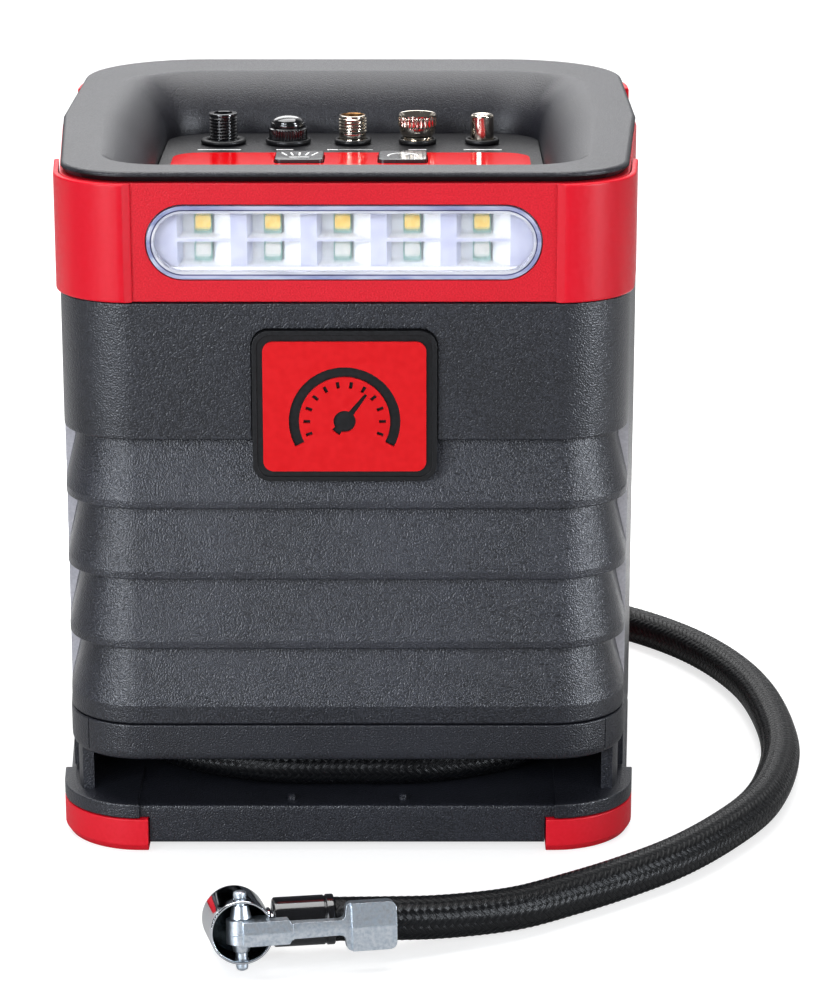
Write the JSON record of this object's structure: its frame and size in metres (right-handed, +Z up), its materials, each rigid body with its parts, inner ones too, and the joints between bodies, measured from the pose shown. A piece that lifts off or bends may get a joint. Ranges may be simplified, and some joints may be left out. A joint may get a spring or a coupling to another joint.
{
  "type": "portable tyre inflator pack",
  "caption": "Upright battery tyre inflator with louvred case, front work light, top tray of valve adapters and a braided air hose with a lever chuck.",
  "frame": {"origin": "bottom centre of the case, on the plane the feet stand on", "axes": "+X to the right seen from the lamp side, +Y from the lamp to the rear, +Z up"},
  "size_m": [0.1896, 0.2601, 0.1663],
  "materials": {
    "shell": "fine moulded texture, satin",
    "dark_plastic": "fine texture, matte",
    "red_plastic": "satin",
    "red_rubber": "satin elastomer",
    "label_gloss": "glossy laminate",
    "gloss_black": "glossy moulded",
    "clear_lens": "clear polycarbonate",
    "lamp_white": "satin white",
    "nickel": "bright nickel plate",
    "black_rubber": "matte elastomer",
    "steel": "zinc-plated",
    "cast_alloy": "as cast",
    "battery_wrap": "shrink sleeve",
    "circuit_board": "solder mask",
    "chrome": "bright chrome plate",
    "zinc": "die cast, tumbled",
    "hose_braid": "polyester braid over rubber"
  },
  "bodies": {
    "housing": {"front_shell": "shell", "rear_shell": "shell", "base_ring": "shell", "base_tray": "shell", "top_rim": "shell", "tray_panel": "shell", "bottom_plate": "dark_plastic", "hose_core": "dark_plastic", "power_inlet": "dark_plastic", "lamp_band": "red_plastic", "corner_guard_front_left": "red_plastic", "corner_guard_front_right": "red_plastic", "corner_guard_rear_left": "red_plastic", "corner_guard_rear_right": "red_plastic", "badge_inlay": "red_plastic", "foot_front_left": "red_rubber", "foot_front_right": "red_rubber", "foot_rear_left": "red_rubber", "foot_rear_right": "red_rubber", "panel_label": "label_gloss", "badge_plate": "gloss_black", "display_window": "gloss_black", "chuck_sleeve": "gloss_black", "lamp_lens": "clear_lens", "lamp_reflector": "lamp_white", "lamp_board": "lamp_white", "seal_black_thread": "black_rubber", "seal_valve_cap": "black_rubber", "seal_nickel_thread": "black_rubber", "seal_nickel_dish": "black_rubber", "seal_nickel_pin": "black_rubber", "chuck_seal": "black_rubber", "case_screw_1": "steel", "case_screw_2": "steel", "case_screw_3": "steel", "case_screw_4": "steel", "motor": "steel", "hose_gland": "steel", "compressor_frame": "cast_alloy", "cylinder_head": "cast_alloy", "battery_pack": "battery_wrap", "control_board": "circuit_board", "chuck_body": "chrome", "chuck_pin": "zinc", "hose": "hose_braid"},
    "crank": {"crank_gear": "steel"},
    "rotor": {"motor_pinion": "steel", "cooling_fan": "dark_plastic"},
    "piston": {"piston_rod": "steel"},
    "inlet_flap": {"inlet_cover": "black_rubber"},
    "lever": {"chuck_lever": "zinc"},
    "held_black_thread": {"adapter_black_thread": "gloss_black"},
    "held_valve_cap": {"adapter_valve_cap": "gloss_black"},
    "held_nickel_thread": {"adapter_nickel_thread": "nickel"},
    "held_nickel_dish": {"adapter_nickel_dish": "nickel"},
    "held_nickel_pin": {"adapter_nickel_pin": "nickel"},
    "light_key": {"light_button": "gloss_black"},
    "mode_key": {"mode_button": "gloss_black"},
    "minus_key": {"minus_button": "gloss_black"},
    "plus_key": {"plus_button": "gloss_black"}
  },
  "joints": [
    {"name": "crank_spin", "type": "hinge", "parent": "housing", "child": "crank", "pos_m": [0.028, -0.006, 0.08], "axis": [0, 1, 0], "continuous": true},
    {"name": "rotor_spin", "type": "hinge", "parent": "housing", "child": "rotor", "pos_m": [0.028, 0, 0.05], "axis": [0, 1, 0], "continuous": true},
    {"name": "piston_slide", "type": "slide", "parent": "housing", "child": "piston", "axis": [0, 0, 1], "range_m": [0, 0.014]},
    {"name": "inlet_cover_hinge", "type": "hinge", "parent": "housing", "child": "inlet_flap", "pos_m": [0, 0.0892, 0.0822], "axis": [1, 0, 0], "range_deg": [0, 120]},
    {"name": "lever_hinge", "type": "hinge", "parent": "housing", "child": "lever", "pos_m": [-0.02214, -0.15681, 0.00974], "axis": [0.0302, -0.171, -0.9848], "range_deg": [0, 95]},
    {"name": "pull_black_thread", "type": "slide", "parent": "housing", "child": "held_black_thread", "axis": [0, 0, 1], "range_m": [0, 0.03]},
    {"name": "pull_valve_cap", "type": "slide", "parent": "housing", "child": "held_valve_cap", "axis": [0, 0, 1], "range_m": [0, 0.03]},
    {"name": "pull_nickel_thread", "type": "slide", "parent": "housing", "child": "held_nickel_thread", "axis": [0, 0, 1], "range_m": [0, 0.03]},
    {"name": "pull_nickel_dish", "type": "slide", "parent": "housing", "child": "held_nickel_dish", "axis": [0, 0, 1], "range_m": [0, 0.03]},
    {"name": "pull_nickel_pin", "type": "slide", "parent": "housing", "child": "held_nickel_pin", "axis": [0, 0, 1], "range_m": [0, 0.03]},
    {"name": "light_press", "type": "slide", "parent": "housing", "child": "light_key", "axis": [0, 0, -1], "range_m": [0, 0.0008], "stiffness_N_per_m": 400},
    {"name": "mode_press", "type": "slide", "parent": "housing", "child": "mode_key", "axis": [0, 0, -1], "range_m": [0, 0.0008], "stiffness_N_per_m": 400},
    {"name": "minus_press", "type": "slide", "parent": "housing", "child": "minus_key", "axis": [0, 0, -1], "range_m": [0, 0.0008], "stiffness_N_per_m": 400},
    {"name": "plus_press", "type": "slide", "parent": "housing", "child": "plus_key", "axis": [0, 0, -1], "range_m": [0, 0.0008], "stiffness_N_per_m": 400}
  ],
  "couplings": [
    {"joint": "rotor_spin", "follows": "crank_spin", "ratio": -4}
  ]
}
